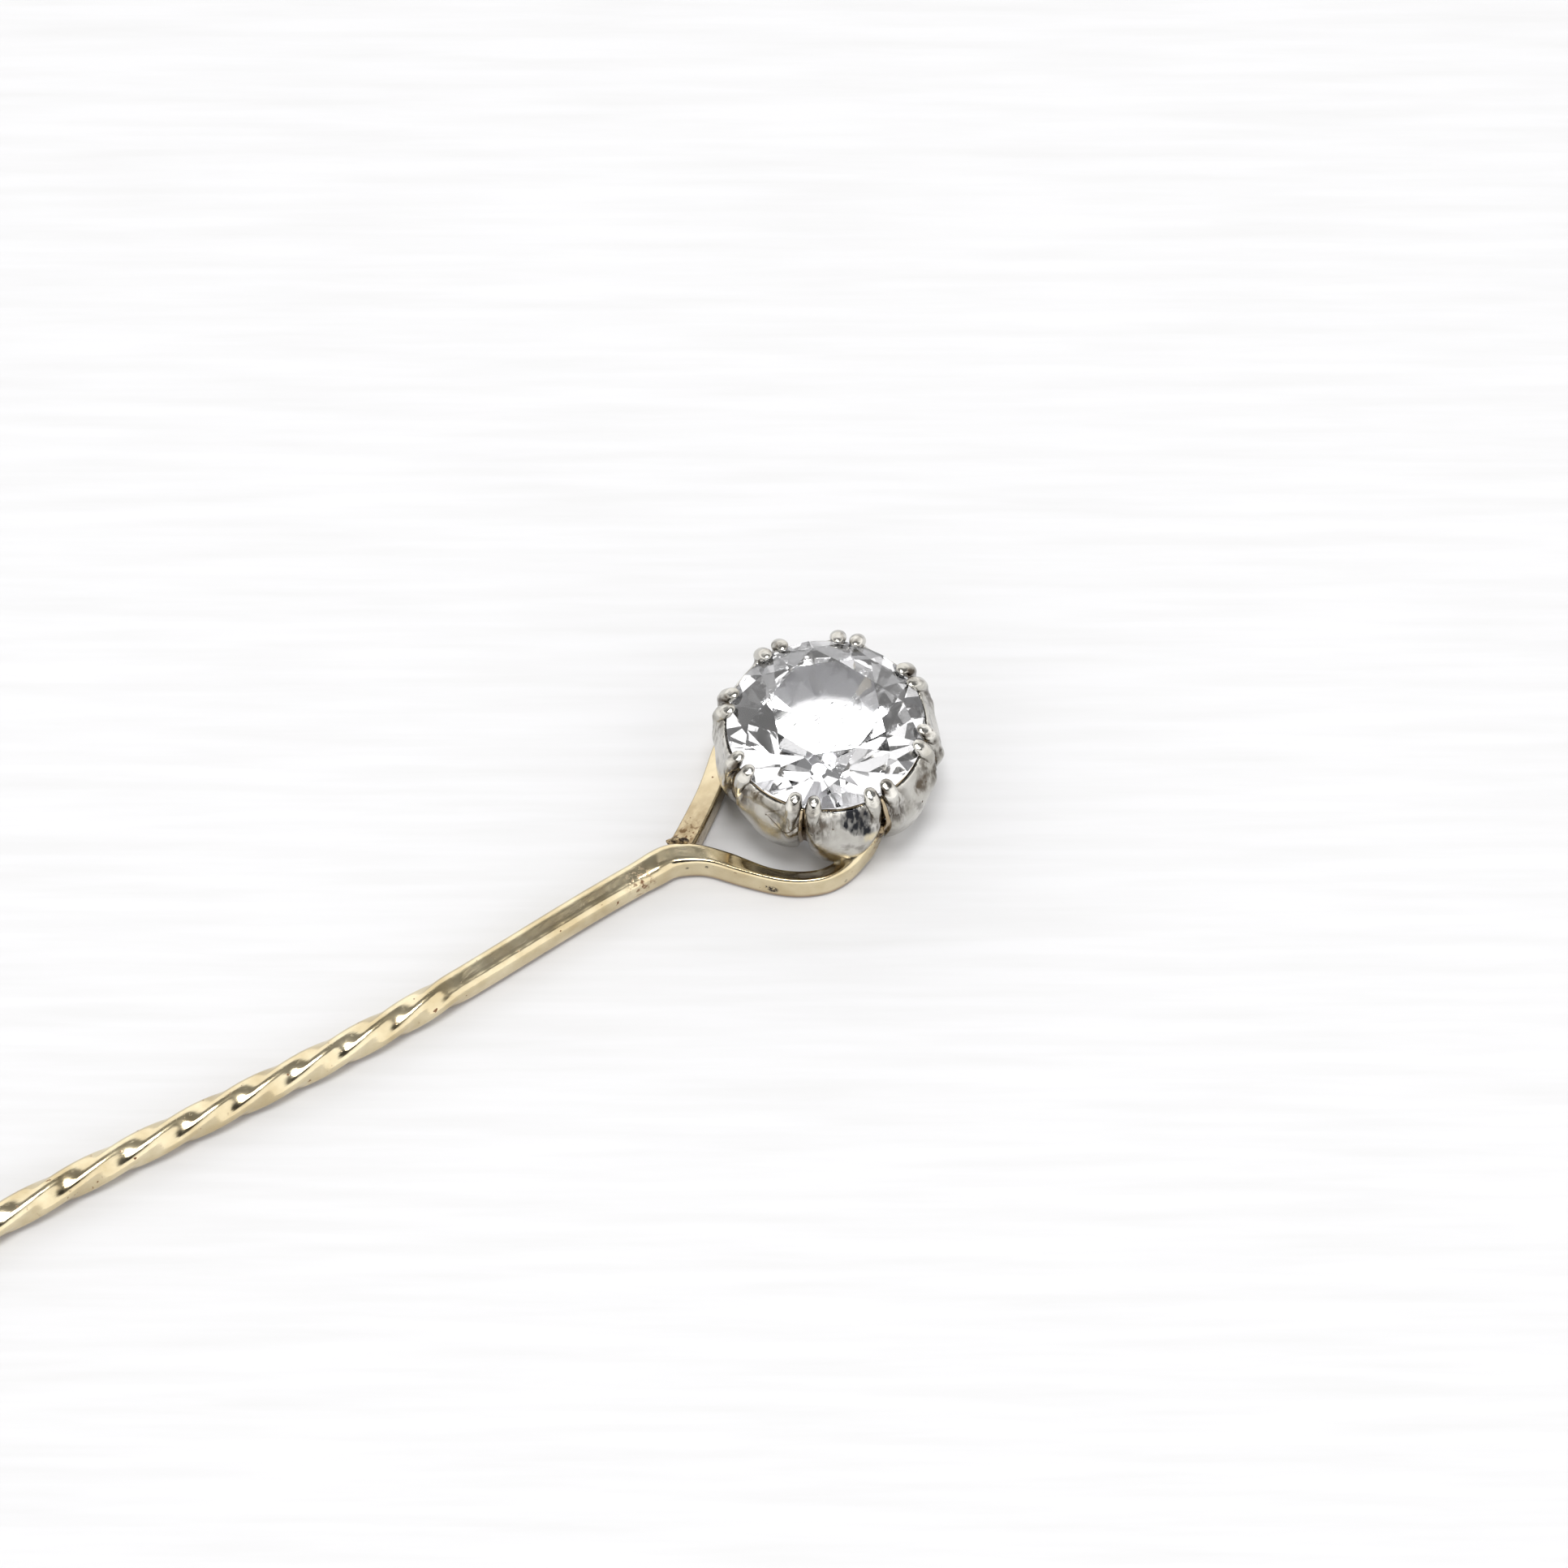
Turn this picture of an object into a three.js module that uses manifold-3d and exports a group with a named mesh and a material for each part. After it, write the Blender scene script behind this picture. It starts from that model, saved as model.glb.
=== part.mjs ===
// A stick pin with one round white stone. Eight silver-topped gold petals stand in a ring
// round a gold collet and hold the stone with paired claws. Two arms carry this head: one is
// the end of the pin wire, drawn out and bent to an ogee, the other is a bar soldered to it.
// The pin lies on its back, stone up. X runs from the point to the head, Y across, Z up.
// Millimetres. Everything is built round the head's axis, then moved to the origin.
import * as THREE from 'three';
import { mergeVertices } from 'three/addons/utils/BufferGeometryUtils.js';
import Module from 'manifold-3d';

const wasm = await Module();
wasm.setup();

// Driving dimensions.
const GAP = 0.02; // room left between soldered neighbours
const WIRE = 1.14; // side of the square pin wire
const WIRE_ROUND = 0.36; // radius on the wire's four edges
const PIN_LENGTH = 65; // overall, point to the far petal
const STONE_RADIUS = 3.6;
const GIRDLE_Z = 4.2; // middle of the stone's edge
const PETAL_COUNT = 8;
const SILVER = 0.26; // thickness of a petal's silver front
const LINING = 0.14; // thickness of its gold back
const TWIST_START = -15.4; // where the square wire starts to turn
const TWIST_END = -38.2; // where it is round again
const QUARTER_TURN = 2.15; // wire length per quarter turn near the head
const SLACK_TURN = 2.75; // and at the loose end of the twist
const ARM_WIDTH = 0.84;
const ARM_HEIGHT = 1.1;

// Worked out from them.
const PETAL_STEP = (2 * Math.PI) / PETAL_COUNT;
const HEAD_RADIUS = 4.22; // at the petals' widest
const POINT_X = HEAD_RADIUS - PIN_LENGTH;
const RIDGE_RADIUS = (WIRE / 2 - WIRE_ROUND) * Math.SQRT2 + WIRE_ROUND; // axis to a twist's ridge

const gold = new THREE.MeshStandardMaterial({ color: 0xd8c096, roughness: 0.25, metalness: 1 });
const silver = new THREE.MeshStandardMaterial({ color: 0xd2d1cb, roughness: 0.3, metalness: 1 });
const solder = new THREE.MeshStandardMaterial({ color: 0xb99a68, roughness: 0.5, metalness: 1 });
const paste = new THREE.MeshStandardMaterial({ color: 0xf2f2f6, roughness: 0.02, metalness: 0 });

// ---------- meshes and cuts ----------

// A closed mesh from points and triangles, turned inside out if its volume comes out negative.
function closedGeometry(points, triangles) {
  let volume = 0;
  for (const [a, b, c] of triangles) {
    volume += points[a].dot(new THREE.Vector3().crossVectors(points[b], points[c]));
  }
  const order = volume < 0 ? ([a, b, c]) => [a, c, b] : (t) => t;
  const places = points.flatMap((point) => point.toArray());
  const geometry = new THREE.BufferGeometry();
  geometry.setAttribute('position', new THREE.Float32BufferAttribute(places, 3));
  geometry.setIndex(triangles.flatMap(order));
  return geometry;
}

// Skins a row of rings that all have the same number of points, and closes both ends.
function loft(rings) {
  const sides = rings[0].length;
  const points = rings.flat();
  const triangles = [];
  for (let i = 0; i < rings.length - 1; i += 1) {
    for (let j = 0; j < sides; j += 1) {
      const a = i * sides + j;
      const b = i * sides + ((j + 1) % sides);
      triangles.push([a, b, b + sides], [a, b + sides, a + sides]);
    }
  }
  const last = (rings.length - 1) * sides;
  for (let j = 1; j < sides - 1; j += 1) {
    triangles.push([0, j + 1, j], [last, last + j, last + j + 1]);
  }
  return closedGeometry(points, triangles);
}

function toManifold(geometry) {
  const bare = new THREE.BufferGeometry();
  bare.setAttribute('position', geometry.getAttribute('position').clone());
  if (geometry.index) bare.setIndex(geometry.index.clone());
  const merged = mergeVertices(bare, 1e-5);
  return new wasm.Manifold(new wasm.Mesh({
    numProp: 3,
    vertProperties: new Float32Array(merged.getAttribute('position').array),
    triVerts: new Uint32Array(merged.index.array),
  }));
}

// The largest separate body of a manifold, so that no cut leaves a crumb behind.
function mainBody(manifold) {
  const bodies = manifold.decompose();
  return bodies.reduce((best, body) => (body.volume() > best.volume() ? body : best));
}

function toGeometry(manifold) {
  const mesh = mainBody(manifold).getMesh();
  const geometry = new THREE.BufferGeometry();
  geometry.setAttribute('position', new THREE.Float32BufferAttribute(mesh.vertProperties, 3));
  geometry.setIndex(Array.from(mesh.triVerts));
  return geometry;
}

function cut(geometry, ...tools) {
  return toGeometry(tools.reduce((body, tool) => body.subtract(toManifold(tool)), toManifold(geometry)));
}

function join(...pieces) {
  return toGeometry(pieces.map(toManifold).reduce((body, piece) => body.add(piece)));
}

// A value read off a short list of [position, value] pairs, with smooth steps between them.
function eased(pairs, at) {
  const next = pairs.findIndex(([position]) => position >= at);
  if (next === 0) return pairs[0][1];
  if (next === -1) return pairs[pairs.length - 1][1];
  const [[from, low], [to, high]] = [pairs[next - 1], pairs[next]];
  return THREE.MathUtils.lerp(low, high, THREE.MathUtils.smoothstep(at, from, to));
}

// ---------- bars: the wire and both arms ----------

const CORNER_STEPS = 3;

// Cross-section of a bar as [across, up] pairs: a box with rounded edges, whose inner top
// edge can be let down by bevel, so that its top slopes in towards the stone.
function barSection({ width, height, round, bevel = 0, inner = 1 }) {
  const corners = [[1, 1], [-1, 1], [-1, -1], [1, -1]];
  return corners.flatMap(([side, level], quarter) => {
    const across = side * (width / 2 - round);
    const lowered = side === inner && level === 1 ? bevel : 0;
    const up = level * (height / 2 - round) - lowered;
    return Array.from({ length: CORNER_STEPS + 1 }, (_, step) => {
      const angle = (quarter + step / CORNER_STEPS) * (Math.PI / 2);
      return [across + round * Math.cos(angle), up + round * Math.sin(angle)];
    });
  });
}

// That section standing on a path at a point, square to the path's heading.
function barRing(point, heading, section, turn = 0) {
  const side = new THREE.Vector3(-Math.sin(heading), Math.cos(heading), 0);
  return section.map(([across, up]) => {
    const y = across * Math.cos(turn) - up * Math.sin(turn);
    const z = across * Math.sin(turn) + up * Math.cos(turn);
    return point.clone().addScaledVector(side, y).add(new THREE.Vector3(0, 0, z));
  });
}

// Rings along an arm's curve, each section read off the arm's own lists of sizes.
function armRings(curve, sizes, steps, inner, extra) {
  return Array.from({ length: steps + 1 }, (_, i) => {
    const at = i / steps;
    const point = curve.getPointAt(at);
    const tangent = curve.getTangentAt(at);
    const height = eased(sizes.height, at);
    const section = barSection({
      width: eased(sizes.width, at) + 2 * extra,
      height: height + 2 * extra,
      round: eased(sizes.round, at),
      bevel: eased(sizes.bevel, at),
      inner,
    });
    point.z = height / 2 + eased(sizes.lift, at);
    return barRing(point, Math.atan2(tangent.y, tangent.x), section);
  });
}

// ---------- the pin: point, plain wire, twist, straight wire and right arm in one ----------

const TWIST_STEP = 0.36;
const TWIST_EASE = 1.2; // length over which the turning sets in and dies away
const SLACK_FROM = 8; // length of twist before it begins to loosen
const ROUNDING = 3; // length over which the square wire becomes round past the twist
const TAPER_POWER = 0.75; // below 1 the point swells quickly
const TAPER_START = -49; // the round wire thins from here to the point
const ROUND_WIRE = 1.02;
const FORK_X = -7.4; // the straight wire ends and the arm's bend begins
const POINT_WIDTH = 0.06;

// Quarter turns per millimetre at x: even at first, looser towards the point.
function turnRate(x) {
  const along = TWIST_START - x;
  const length = TWIST_START - TWIST_END;
  const slack = THREE.MathUtils.smoothstep(along, SLACK_FROM, length);
  const pitch = THREE.MathUtils.lerp(QUARTER_TURN, SLACK_TURN, slack);
  const fade = Math.min(along, length - along) / TWIST_EASE;
  return THREE.MathUtils.clamp(fade, 0, 1) / pitch;
}

// Height of the wire's axis. The twist rides on its ridges, so it lies a little higher.
function axisHeight(x) {
  const raised = THREE.MathUtils.smoothstep(TWIST_START - x, 0, TWIST_EASE);
  return THREE.MathUtils.lerp(WIRE / 2, RIDGE_RADIUS, raised);
}

function wireRing(x, turn, extra) {
  const squareness = THREE.MathUtils.smoothstep(x, TWIST_END, TWIST_END + ROUNDING);
  const taper = THREE.MathUtils.clamp((x - POINT_X) / (TAPER_START - POINT_X), 0, 1);
  const thin = THREE.MathUtils.lerp(POINT_WIDTH, ROUND_WIRE, Math.pow(taper, TAPER_POWER));
  const width = THREE.MathUtils.lerp(thin, WIRE, squareness);
  const round = THREE.MathUtils.lerp(thin / 2, WIRE_ROUND, squareness) - 0.0005;
  const section = barSection({ width: width + 2 * extra, height: width + 2 * extra, round });
  return barRing(new THREE.Vector3(x, 0, axisHeight(x)), 0, section, turn);
}

const RIGHT_ARM_PATH = new THREE.CatmullRomCurve3([
  [FORK_X, 0], [-6.75, -0.02], [-6.15, -0.28], [-5.46, -0.82], [-4.69, -1.76], [-3.86, -2.68],
  [-3.16, -3.24], [-2.43, -3.57], [-1.84, -3.6], [-1.14, -3.4], [-0.5, -2.98], [-0.12, -2.78],
].map(([x, y]) => new THREE.Vector3(x, y, 0)), false, 'centripetal');

const RIGHT_ARM_SIZES = {
  width: [[0, WIRE], [0.25, ARM_WIDTH - 0.06], [0.6, ARM_WIDTH], [0.9, ARM_WIDTH], [1, 0.66]],
  height: [[0, WIRE], [0.2, ARM_HEIGHT], [0.85, ARM_HEIGHT], [1, 1]],
  round: [[0, WIRE_ROUND], [0.2, 0.16], [0.72, 0.14], [0.88, 0.3], [1, 0.32]],
  bevel: [[0, 0], [0.22, 0.02], [0.5, 0.42], [0.72, 0.44], [0.86, 0.05], [1, 0]],
  lift: [[0, 0], [0.8, 0], [1, 0.14]],
};
const RIGHT_ARM_STEPS = 34;

// The whole blank before it is fitted to the petals; extra makes it fatter all round.
function pinBlank(extra = 0) {
  const rings = [POINT_X, POINT_X + 1.2, POINT_X + 3, POINT_X + 6, TAPER_START, TWIST_END]
    .map((x) => wireRing(x, 0, extra));
  let turn = 0;
  for (let x = TWIST_END + TWIST_STEP; x < TWIST_START; x += TWIST_STEP) {
    turn -= turnRate(x - TWIST_STEP / 2) * TWIST_STEP * (Math.PI / 2);
    rings.push(wireRing(x, turn, extra));
  }
  // The turn is counted back from the straight wire, whose sides lie square to the table.
  const total = turn;
  const squared = rings.map((ring) => ring.map((p) => {
    const axis = axisHeight(p.x);
    const arm = new THREE.Vector2(p.y, p.z - axis).rotateAround(new THREE.Vector2(), -total);
    return new THREE.Vector3(p.x, arm.x, arm.y + axis);
  }));
  squared.push(wireRing((TWIST_START + FORK_X) / 2, 0, extra));
  return loft([...squared, ...armRings(RIGHT_ARM_PATH, RIGHT_ARM_SIZES, RIGHT_ARM_STEPS, 1, extra)]);
}

// ---------- the left arm, a bar butted against the wire at the fork ----------

const LEFT_ARM_PATH = new THREE.CatmullRomCurve3([
  [-6.35, 0.02], [-5.5, 0.58], [-4.7, 1.13], [-3.9, 1.72], [-3.2, 2.32], [-2.5, 2.95],
  [-1.85, 3.36], [-1.2, 3.36], [-0.5, 2.98], [-0.12, 2.78],
].map(([x, y]) => new THREE.Vector3(x, y, 0)), false, 'centripetal');

const LEFT_ARM_SIZES = {
  width: [[0, 0.98], [0.5, 0.9], [0.9, ARM_WIDTH], [1, 0.66]],
  height: [[0, ARM_HEIGHT], [0.85, ARM_HEIGHT], [1, 1]],
  round: [[0, 0.18], [0.8, 0.2], [1, 0.32]],
  bevel: [[0, 0], [1, 0]],
  lift: [[0, 0], [0.8, 0], [1, 0.14]],
};
const LEFT_ARM_STEPS = 26;

function leftArmBlank(extra = 0) {
  return loft(armRings(LEFT_ARM_PATH, LEFT_ARM_SIZES, LEFT_ARM_STEPS, -1, extra));
}

// ---------- petals: silver fronts with two claws each, on gold linings ----------

const SCALLOP_Z = 4.06; // top edge at the petal's middle
const SHOULDER_Z = 4.42; // and at its corners, under the claws
const FOOT_RISE = 1.25; // how far the rounded foot climbs from its middle to its corners
const FOOT_SQUARENESS = 2.8; // 2 is an ellipse, more is squarer
const LINING_TOP = 4.0; // the lining stops under the stone's edge
const LIP = 0.25; // part of its thickness that a petal keeps at the stone's edge
const HALF_GROOVE = 0.17; // half the space between two petals at the top

// Outline of a petal's middle, seen from the side: foot, belly and neck.
const BELLY = new THREE.SplineCurve([
  [3.06, 0], [3.43, 0.5], [3.78, 1.12], [4.07, 1.95], [HEAD_RADIUS, 2.75], [4.15, 3.35],
  [3.95, 3.8], [3.77, 4.08], [3.72, 4.45],
].map(([r, z]) => new THREE.Vector2(r, z)));
const BELLY_SAMPLES = BELLY.getPoints(80).map((p) => [p.y, p.x]);

function bellyRadius(z) {
  const next = BELLY_SAMPLES.findIndex(([height]) => height >= z);
  if (next <= 0) return BELLY_SAMPLES[next === 0 ? 0 : BELLY_SAMPLES.length - 1][1];
  const [[z0, r0], [z1, r1]] = [BELLY_SAMPLES[next - 1], BELLY_SAMPLES[next]];
  return THREE.MathUtils.lerp(r0, r1, (z - z0) / (z1 - z0));
}

// How much of a petal's thickness is left at height z: it is filed thin towards the stone.
function lip(z) {
  return eased([[3.2, 1], [SCALLOP_Z, LIP]], z);
}

// A point of the petal's front. u runs -1 to 1 across it, v 0 to 1 from foot to scallop.
function petalPoint(u, v, outset, top) {
  const square = FOOT_SQUARENESS;
  const foot = FOOT_RISE * (1 - Math.pow(1 - Math.pow(Math.abs(u), square), 1 / square));
  const edge = Math.min(top, THREE.MathUtils.lerp(SCALLOP_Z, SHOULDER_Z, Math.pow(Math.abs(u), 3)));
  const z = THREE.MathUtils.lerp(foot, edge, v);
  const middle = bellyRadius(z);
  const fall = eased([[0, 0.2], [1.2, 0.34], [3.2, 0.34], [4, 0.02]], z);
  const groove = eased([[0, 0.34], [2, 0.24], [4, HALF_GROOVE]], z) - Math.max(outset, 0);
  const angle = u * (PETAL_STEP / 2 - groove / middle);
  const set = outset < 0 ? outset * lip(z) : outset;
  const radius = middle + set - fall * Math.pow(Math.abs(u), 2.4);
  return new THREE.Vector3(radius * Math.cos(angle), radius * Math.sin(angle), z);
}

// A closed shell whose front stands outset proud of the petal's own, and thickness deep.
function petalShell({ outset, thickness, top = SHOULDER_Z, across = 12, up = 8 }) {
  const points = [];
  const triangles = [];
  for (const depth of [0, thickness]) {
    for (let j = 0; j <= up; j += 1) {
      for (let i = 0; i <= across; i += 1) {
        const u = Math.sin((i / across - 0.5) * Math.PI * 0.94) / Math.sin(0.47 * Math.PI);
        const front = petalPoint(u, j / up, outset, top);
        const inwards = 1 - (depth * lip(front.z)) / Math.hypot(front.x, front.y);
        points.push(front.multiply(new THREE.Vector3(inwards, inwards, 1)));
      }
    }
  }
  const row = across + 1;
  const back = row * (up + 1);
  const quad = (a, b, c, d) => triangles.push([a, b, c], [a, c, d]);
  for (let j = 0; j < up; j += 1) {
    for (let i = 0; i < across; i += 1) {
      const a = j * row + i;
      quad(a, a + 1, a + row + 1, a + row);
      quad(back + a + row, back + a + row + 1, back + a + 1, back + a);
    }
    const left = j * row;
    const right = left + across;
    quad(left + row, back + left + row, back + left, left);
    quad(right, back + right, back + right + row, right + row);
  }
  for (let i = 0; i < across; i += 1) {
    const top0 = up * row + i;
    quad(i, back + i, back + i + 1, i + 1);
    quad(top0 + 1, back + top0 + 1, back + top0, top0);
  }
  return closedGeometry(points, triangles);
}

const CLAW_ANGLE = 0.3; // claw's place, in radians from the petal's middle
const CLAW_RADIUS = 0.27;
const UP = new THREE.Vector3(0, 1, 0); // the way a new capsule stands
const CLAW_TIP = { r: 3.6, z: 4.53 }; // centre of the rounded tip over the stone's edge
const CLAW_ROOT = { r: 3.84, z: 3.86 };

// A claw: a round-ended bead that rises from the shoulder and leans in over the stone. Its
// root is cut off inside the petal's thickness, and its tip is cut to the stone.
function claw(side) {
  const across = side * Math.sin(CLAW_ANGLE);
  const at = ({ r, z }) => new THREE.Vector3(r * Math.cos(CLAW_ANGLE), r * across, z);
  const [root, tip] = [at(CLAW_ROOT), at(CLAW_TIP)];
  const along = tip.clone().sub(root);
  const bead = new THREE.CapsuleGeometry(CLAW_RADIUS, along.length(), 3, 8);
  bead.applyQuaternion(new THREE.Quaternion().setFromUnitVectors(UP, along.normalize()));
  const middle = root.add(tip).multiplyScalar(0.5);
  bead.translate(middle.x, middle.y, middle.z);
  const behind = petalShell({ outset: -SILVER / 2, thickness: 2, top: SCALLOP_Z, up: 4 });
  return cut(bead, behind, brilliant(GAP));
}

function petalFront() {
  const shell = petalShell({ outset: 0, thickness: SILVER });
  return join(shell, claw(1), claw(-1));
}

function petalLining() {
  const set = -SILVER - GAP;
  return petalShell({ outset: set, thickness: LINING, top: LINING_TOP, across: 10, up: 6 });
}

// ---------- the stone: an old-cut brilliant ----------

const TABLE_RADIUS = 2.06;
const CROWN_ANGLE = THREE.MathUtils.degToRad(35);
const GIRDLE_THICKNESS = 0.08;
const PAVILION_DEPTH = 2.85;
const CULET_RADIUS = 0.26;
const STAR_RADIUS = 2.84; // where the star facets end, out towards the edge
const HALF_RADIUS = 1.35; // where the lower girdle facets end, in towards the culet

function ringOf(count, radius, z, offset = 0) {
  return Array.from({ length: count }, (_, k) => {
    const angle = (k + offset) * ((2 * Math.PI) / count);
    return new THREE.Vector3(radius * Math.cos(angle), radius * Math.sin(angle), z);
  });
}

// One half of the stone from its flat (table or culet) to the girdle: stars, kites, halves.
// The base says where its three rings begin in the list of points.
function facetCone(base, triangles) {
  const [flatAt, waistAt, edgeAt] = base;
  for (let k = 0; k < 8; k += 1) {
    const next = (k + 1) % 8;
    const previous = (k + 7) % 8;
    triangles.push([flatAt + k, waistAt + k, flatAt + next]);
    triangles.push([flatAt + k, waistAt + previous, edgeAt + 2 * k]);
    triangles.push([flatAt + k, edgeAt + 2 * k, waistAt + k]);
    triangles.push([waistAt + k, edgeAt + 2 * k, edgeAt + 2 * k + 1]);
    triangles.push([waistAt + k, edgeAt + 2 * k + 1, edgeAt + 2 * next]);
  }
  for (let k = 1; k < 7; k += 1) triangles.push([flatAt, flatAt + k, flatAt + k + 1]);
}

function brilliant(grow = 0) {
  const radius = STONE_RADIUS + grow;
  const crownFoot = GIRDLE_Z + GIRDLE_THICKNESS / 2 + grow;
  const pavilionHead = GIRDLE_Z - GIRDLE_THICKNESS / 2 - grow;
  const cosHalf = Math.cos(Math.PI / 8);
  const crownSlope = Math.tan(CROWN_ANGLE);
  const pavilionSlope = PAVILION_DEPTH / (STONE_RADIUS - CULET_RADIUS);
  const crownAt = (r) => crownFoot + (radius - r) * crownSlope;
  const pavilionAt = (r) => pavilionHead - (radius - r) * pavilionSlope;
  const points = [
    ...ringOf(8, TABLE_RADIUS, crownAt(TABLE_RADIUS)),
    ...ringOf(8, STAR_RADIUS, crownAt(STAR_RADIUS * cosHalf), 0.5),
    ...ringOf(16, radius, crownFoot),
    ...ringOf(8, CULET_RADIUS, pavilionAt(CULET_RADIUS)),
    ...ringOf(8, HALF_RADIUS, pavilionAt(HALF_RADIUS * cosHalf), 0.5),
    ...ringOf(16, radius, pavilionHead),
  ];
  const triangles = [];
  facetCone([0, 8, 16], triangles);
  const lower = [];
  facetCone([32, 40, 48], lower);
  triangles.push(...lower.map(([a, b, c]) => [a, c, b]));
  for (let k = 0; k < 16; k += 1) {
    const next = (k + 1) % 16;
    triangles.push([16 + k, 48 + k, 48 + next], [16 + k, 48 + next, 16 + next]);
  }
  return closedGeometry(points, triangles);
}

// ---------- the gold collet that the stone sits in ----------

function collet() {
  const wall = [
    [3.3, 3.88], [3.06, 3.1], [2.78, 2.2], [2.48, 1.32],
    [2.78, 1.32], [3.1, 2.2], [3.46, 3.2], [3.62, 3.88], [3.3, 3.88],
  ].map(([r, z]) => new THREE.Vector2(r, z));
  return new THREE.LatheGeometry(wall, 48).rotateX(Math.PI / 2);
}

// ---------- solder ----------

// A bead of solder: a flattened ball, cut back wherever metal already is.
function bead(centre, size, turn, ...metal) {
  const ball = new THREE.SphereGeometry(1, 16, 10);
  ball.scale(...size).rotateZ(turn).translate(...centre);
  return cut(ball, ...metal);
}

// ---------- assembly ----------

const turned = (geometry, angle) => geometry.clone().rotateZ(angle);
const petalAngles = Array.from({ length: PETAL_COUNT }, (_, k) => (k + 0.5) * PETAL_STEP);

// Each petal as a deep plug, to shape whatever is soldered against its front or its edges.
const plug = petalShell({ outset: GAP, thickness: 1.3, top: 4.0 });
const plugs = petalAngles.map((angle) => turned(plug, angle));

function named(name, geometry, material) {
  const mesh = new THREE.Mesh(geometry, material);
  mesh.name = name;
  return mesh;
}

const head = new THREE.Group();
head.add(named('stone', brilliant(), paste));
head.add(named('seat_collet', collet(), gold));
const front = petalFront();
const back = petalLining();
petalAngles.forEach((angle, k) => {
  const silverFront = named(`petal_silver_${k + 1}`, front.clone(), silver);
  const goldLining = named(`petal_gold_${k + 1}`, back.clone(), gold);
  silverFront.rotation.z = angle;
  goldLining.rotation.z = angle;
  head.add(silverFront, goldLining);
});

const fork = new THREE.Group();
fork.add(named('pin_stem', cut(pinBlank(), ...plugs), gold));
fork.add(named('left_arm', cut(leftArmBlank(), pinBlank(GAP), ...plugs), gold));

const joints = new THREE.Group();
const rightTip = [[-0.3, -3.42, 1.0], [0.5, 0.34, 0.42], -0.4];
const leftTip = [[-0.3, 3.42, 1.0], [0.5, 0.34, 0.42], 0.4];
joints.add(named('solder_right', bead(...rightTip, pinBlank(GAP), ...plugs), solder));
joints.add(named('solder_left', bead(...leftTip, leftArmBlank(GAP), ...plugs), solder));
const forkBead = [[-5.62, 0.0, 0.56], [0.42, 0.3, 0.5], -0.2];
joints.add(named('solder_fork', bead(...forkBead, pinBlank(GAP), leftArmBlank(GAP)), solder));

const pin = new THREE.Group();
pin.add(head, fork, joints);

// The origin is the middle of the underside of the box round the whole pin.
const box = new THREE.Box3().setFromObject(pin, true);
pin.position.set(-(box.min.x + box.max.x) / 2, -(box.min.y + box.max.y) / 2, -box.min.z);
pin.updateMatrixWorld(true);

export default pin;
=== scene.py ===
import math

import bmesh
import bpy
from mathutils import Matrix, Vector, noise


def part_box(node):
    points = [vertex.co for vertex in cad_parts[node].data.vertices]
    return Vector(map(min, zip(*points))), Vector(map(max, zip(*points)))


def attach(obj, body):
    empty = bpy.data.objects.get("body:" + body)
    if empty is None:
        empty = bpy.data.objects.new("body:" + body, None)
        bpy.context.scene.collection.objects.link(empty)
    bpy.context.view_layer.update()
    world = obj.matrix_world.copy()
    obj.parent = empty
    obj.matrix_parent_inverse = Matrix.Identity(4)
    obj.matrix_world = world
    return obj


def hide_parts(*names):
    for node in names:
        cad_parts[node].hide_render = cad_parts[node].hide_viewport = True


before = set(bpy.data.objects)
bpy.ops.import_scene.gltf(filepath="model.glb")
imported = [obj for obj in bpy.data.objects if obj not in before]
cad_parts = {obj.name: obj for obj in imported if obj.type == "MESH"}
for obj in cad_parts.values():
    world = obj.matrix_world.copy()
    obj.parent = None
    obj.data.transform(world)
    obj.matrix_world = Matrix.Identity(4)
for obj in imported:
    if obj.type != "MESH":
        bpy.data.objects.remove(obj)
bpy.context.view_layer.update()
MM = 0.001

# ---------------------------------------------------------------------------------------------
# Camera. It looks down on the head from the side of the pin, about 300 mm away, through a long
# lens, and takes in the head and the twisted part of the stem.
stone_low, stone_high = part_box("stone")
AXIS = Vector(((stone_low.x + stone_high.x) / 2, (stone_low.y + stone_high.y) / 2, 0))
LOOK_DOWN = math.radians(58)
LOOK_ROUND = math.radians(32.3)
LOOK_FROM = 300 * MM
CLAW_RING = 4.53 * MM  # height of the ring of claws, which the camera is aimed by
AIM_LEFT, AIM_BELOW = 1.515 * MM, 2.338 * MM  # from the claw ring to the middle of the view
IN_VIEW = 56.8235 * MM  # width taken in at that distance
SENSOR = 36
across = Vector((math.cos(LOOK_ROUND), -math.sin(LOOK_ROUND), 0))
away = Vector((math.sin(LOOK_ROUND), math.cos(LOOK_ROUND), 0))
up = away * math.sin(LOOK_DOWN) + Vector((0, 0, math.cos(LOOK_DOWN)))
forward = away * math.cos(LOOK_DOWN) - Vector((0, 0, math.sin(LOOK_DOWN)))
middle = AXIS + Vector((0, 0, CLAW_RING)) - across * AIM_LEFT - up * AIM_BELOW
eye = middle - forward * LOOK_FROM
bpy.ops.object.select_all(action="DESELECT")
bpy.ops.object.camera_add(location=eye)
camera = bpy.context.object
camera.name = "camera"
camera.rotation_euler = Matrix((across, up, -forward)).transposed().to_euler()
camera.data.sensor_width = SENSOR
camera.data.lens = SENSOR * LOOK_FROM / IN_VIEW
camera.data.clip_start = 10 * MM
camera.data.clip_end = 5
bpy.context.scene.camera = camera

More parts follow.
